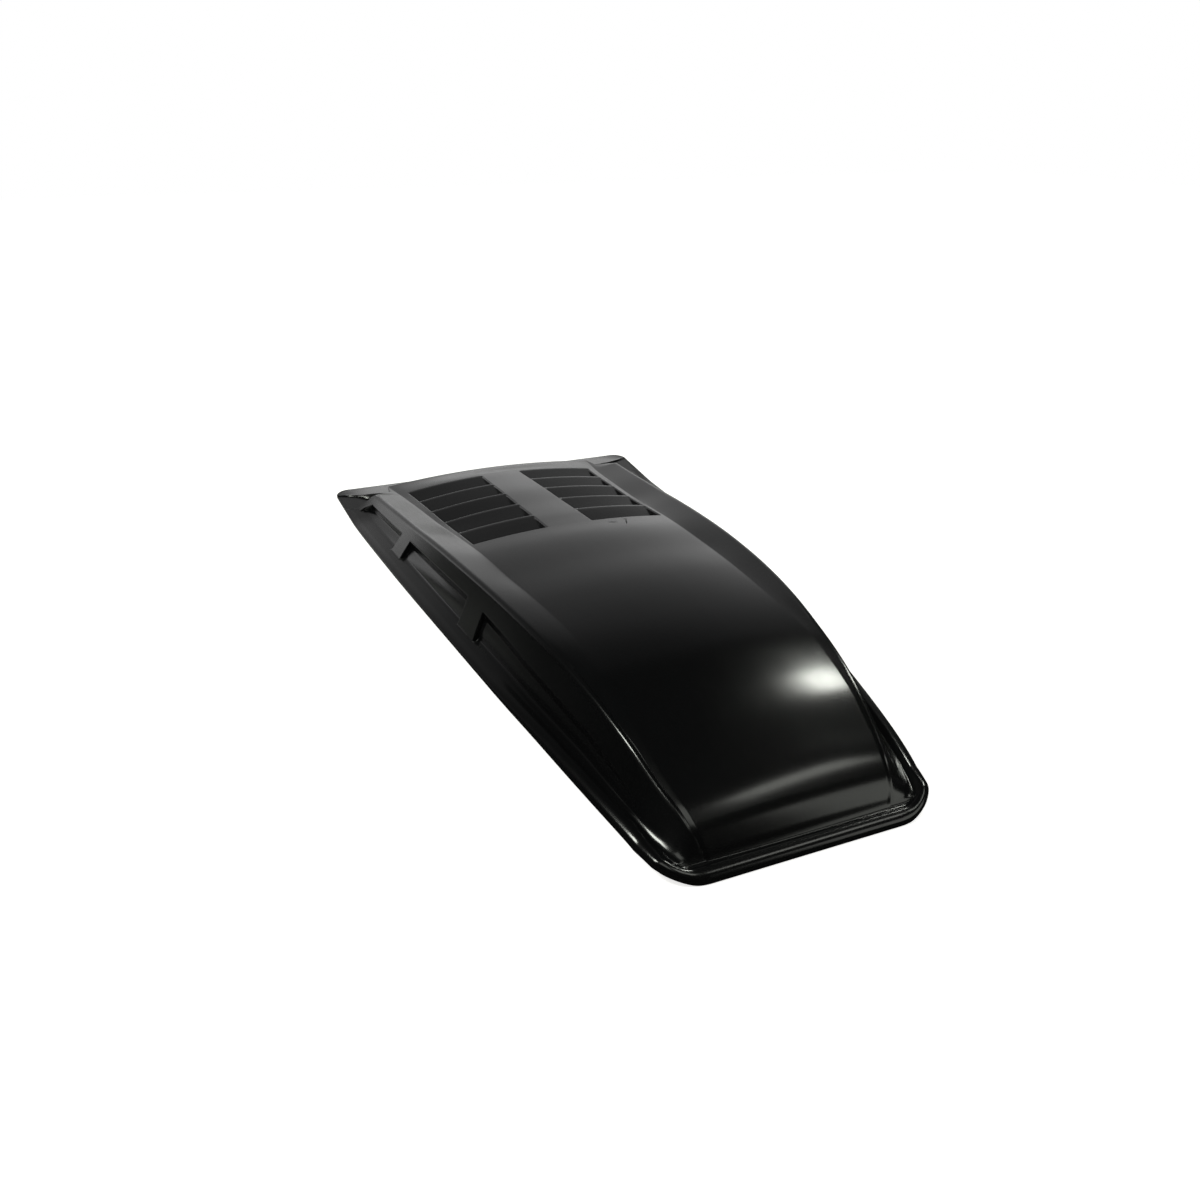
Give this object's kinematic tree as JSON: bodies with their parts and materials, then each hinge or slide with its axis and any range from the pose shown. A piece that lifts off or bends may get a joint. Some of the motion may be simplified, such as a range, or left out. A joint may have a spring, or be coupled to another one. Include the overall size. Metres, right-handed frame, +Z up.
{
  "type": "bonnet scoop",
  "caption": "Long raised bonnet scoop in satin black moulding, with a domed nose, banks of louvres, side pockets between struts, and a bonding flange.",
  "frame": {"origin": "centre of the plan, on the plane that the front rim and the rear edge stand on", "axes": "+Y towards the rear of the car, +X towards the car's left side, +Z up from the bonnet"},
  "size_m": [0.4562, 0.917, 0.0927],
  "materials": {
    "moulding": "satin black with a fine grain"
  },
  "bodies": {
    "root": {"scoop_shell": "moulding"}
  },
  "joints": []
}
